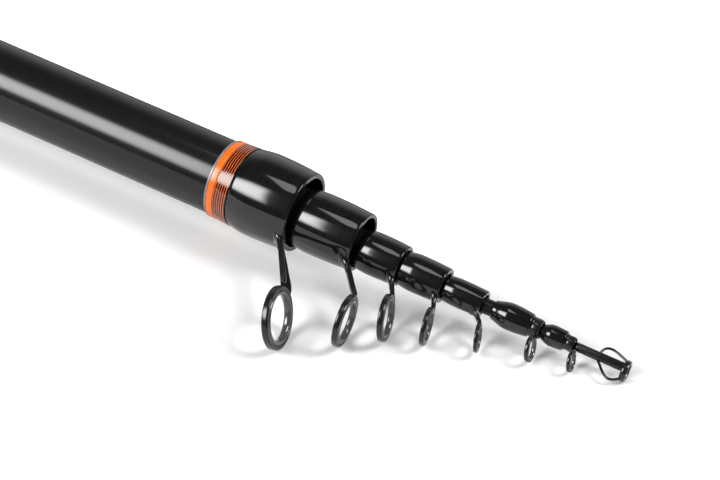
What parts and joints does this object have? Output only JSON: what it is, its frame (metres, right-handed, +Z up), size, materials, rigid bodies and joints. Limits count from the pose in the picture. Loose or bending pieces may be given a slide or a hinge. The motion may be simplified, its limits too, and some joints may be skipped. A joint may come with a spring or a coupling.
{
  "type": "telescopic fishing rod",
  "caption": "Closed telescopic float rod: nested black tapered sections with lacquered sleeves, single-foot line guides, a tip ring, a tubular reel seat, foam grips and a screw cap.",
  "frame": {"origin": "centre of the rubber button's flat face at the butt end", "axes": "+X along the rod from the butt to the tip, +Z up as the rod lies, guides and reel seat towards -Y and 15 degrees below level"},
  "size_m": [0.6995, 0.059, 0.034],
  "materials": {
    "satin_black_blank": "satin clear-coated carbon tube",
    "gloss_black_lacquer": "high-gloss lacquer over thread",
    "orange_lacquer": "gloss orange lines under lacquer",
    "silver_seam": "pale silver line under lacquer",
    "black_guide_metal": "black plated steel",
    "dark_ceramic": "polished dark grey ceramic",
    "black_rubber": "matt rubber",
    "grip_foam": "closed-cell foam",
    "seat_plastic": "satin moulded plastic",
    "gunmetal": "dark anodised",
    "pad_foam": "soft shock pad"
  },
  "bodies": {
    "butt": {"butt_blank": "satin_black_blank", "butt_front_wrap": "gloss_black_lacquer", "orange_band": "orange_lacquer", "pinstripe_band": "orange_lacquer", "seam_ring": "silver_seam", "guide_1_frame": "black_guide_metal", "guide_1_insert": "dark_ceramic", "butt_thread_ring": "gunmetal", "rear_grip": "grip_foam", "rear_trim_ring": "gunmetal", "reel_seat_barrel": "seat_plastic", "fixed_hood": "gunmetal", "fore_trim_ring": "gunmetal", "fore_grip": "grip_foam", "winding_check": "gunmetal"},
    "cap_travel": {"butt_seal": "black_rubber"},
    "cap": {"butt_cap": "gunmetal", "butt_pad": "pad_foam", "butt_button": "black_rubber"},
    "seat_hood": {"sliding_hood": "gunmetal"},
    "seat_nut": {"lock_nut": "gunmetal"},
    "section_2": {"section_2_blank": "satin_black_blank"},
    "section_2_guide": {"section_2_wrap": "gloss_black_lacquer", "guide_2_frame": "black_guide_metal", "guide_2_insert": "dark_ceramic"},
    "section_3": {"section_3_blank": "satin_black_blank"},
    "section_3_guide": {"section_3_wrap": "gloss_black_lacquer", "guide_3_frame": "black_guide_metal", "guide_3_insert": "dark_ceramic"},
    "section_4": {"section_4_blank": "satin_black_blank"},
    "section_4_guide": {"section_4_wrap": "gloss_black_lacquer", "guide_4_frame": "black_guide_metal", "guide_4_insert": "dark_ceramic"},
    "section_5": {"section_5_blank": "satin_black_blank"},
    "section_5_guide": {"section_5_wrap": "gloss_black_lacquer", "guide_5_frame": "black_guide_metal", "guide_5_insert": "dark_ceramic"},
    "section_6": {"section_6_blank": "satin_black_blank"},
    "section_6_guide": {"section_6_wrap": "gloss_black_lacquer", "guide_6_frame": "black_guide_metal", "guide_6_insert": "dark_ceramic"},
    "section_7": {"section_7_blank": "satin_black_blank"},
    "section_7_guide": {"section_7_wrap": "gloss_black_lacquer", "guide_7_frame": "black_guide_metal", "guide_7_insert": "dark_ceramic"},
    "section_8": {"section_8_blank": "satin_black_blank"},
    "tip_guide": {"tip_guide_frame": "black_guide_metal", "tip_guide_insert": "dark_ceramic"}
  },
  "joints": [
    {"name": "section_2_slide", "type": "slide", "parent": "butt", "child": "section_2", "axis": [1, 0, 0.0029], "range_m": [0, 0.496]},
    {"name": "section_2_turn", "type": "hinge", "parent": "section_2", "child": "section_2_guide", "pos_m": [0.6187, 0, -0.00144], "axis": [1, 0, 0], "continuous": true},
    {"name": "section_3_slide", "type": "slide", "parent": "section_2", "child": "section_3", "axis": [1, 0, 0.0036], "range_m": [0, 0.5356]},
    {"name": "section_3_turn", "type": "hinge", "parent": "section_3", "child": "section_3_guide", "pos_m": [0.6319, 0, -0.00339], "axis": [1, 0, 0], "continuous": true},
    {"name": "section_4_slide", "type": "slide", "parent": "section_3", "child": "section_4", "axis": [1, 0, 0.0007], "range_m": [0, 0.5588]},
    {"name": "section_4_turn", "type": "hinge", "parent": "section_4", "child": "section_4_guide", "pos_m": [0.645, 0, -0.00378], "axis": [1, 0, 0], "continuous": true},
    {"name": "section_5_slide", "type": "slide", "parent": "section_4", "child": "section_5", "axis": [1, 0, 0.0007], "range_m": [0, 0.5769]},
    {"name": "section_5_turn", "type": "hinge", "parent": "section_5", "child": "section_5_guide", "pos_m": [0.6569, 0, -0.00418], "axis": [1, 0, 0], "continuous": true},
    {"name": "section_6_slide", "type": "slide", "parent": "section_5", "child": "section_6", "axis": [1, 0, 0.0006], "range_m": [0, 0.5938]},
    {"name": "section_6_turn", "type": "hinge", "parent": "section_6", "child": "section_6_guide", "pos_m": [0.674, 0, -0.00452], "axis": [1, 0, 0], "continuous": true},
    {"name": "section_7_slide", "type": "slide", "parent": "section_6", "child": "section_7", "axis": [1, 0, 0.0002], "range_m": [0, 0.6159]},
    {"name": "section_7_turn", "type": "hinge", "parent": "section_7", "child": "section_7_guide", "pos_m": [0.6838, 0, -0.00467], "axis": [1, 0, 0], "continuous": true},
    {"name": "section_8_slide", "type": "slide", "parent": "section_7", "child": "section_8", "axis": [1, 0, 0.0002], "range_m": [0, 0.6307]},
    {"name": "tip_turn", "type": "hinge", "parent": "section_8", "child": "tip_guide", "pos_m": [0.6966, 0, -0.00481], "axis": [1, 0, 0], "continuous": true},
    {"name": "cap_travel_slide", "type": "slide", "parent": "butt", "child": "cap_travel", "axis": [-1, 0, 0], "range_m": [0, 0.0045]},
    {"name": "cap_turn", "type": "hinge", "parent": "cap_travel", "child": "cap", "pos_m": [0, 0, 0], "axis": [-1, 0, 0], "range_deg": [0, 1080]},
    {"name": "hood_slide", "type": "slide", "parent": "butt", "child": "seat_hood", "axis": [1, 0, 0], "range_m": [-0.012, 0.009]},
    {"name": "nut_turn", "type": "hinge", "parent": "seat_hood", "child": "seat_nut", "pos_m": [0.238, 0, 0], "axis": [1, 0, 0], "range_deg": [-1440, 1080]}
  ],
  "couplings": [
    {"joint": "cap_travel_slide", "follows": "cap_turn", "m_per_rad": 0.00023873},
    {"joint": "hood_slide", "follows": "nut_turn", "m_per_rad": 0.00047746}
  ]
}
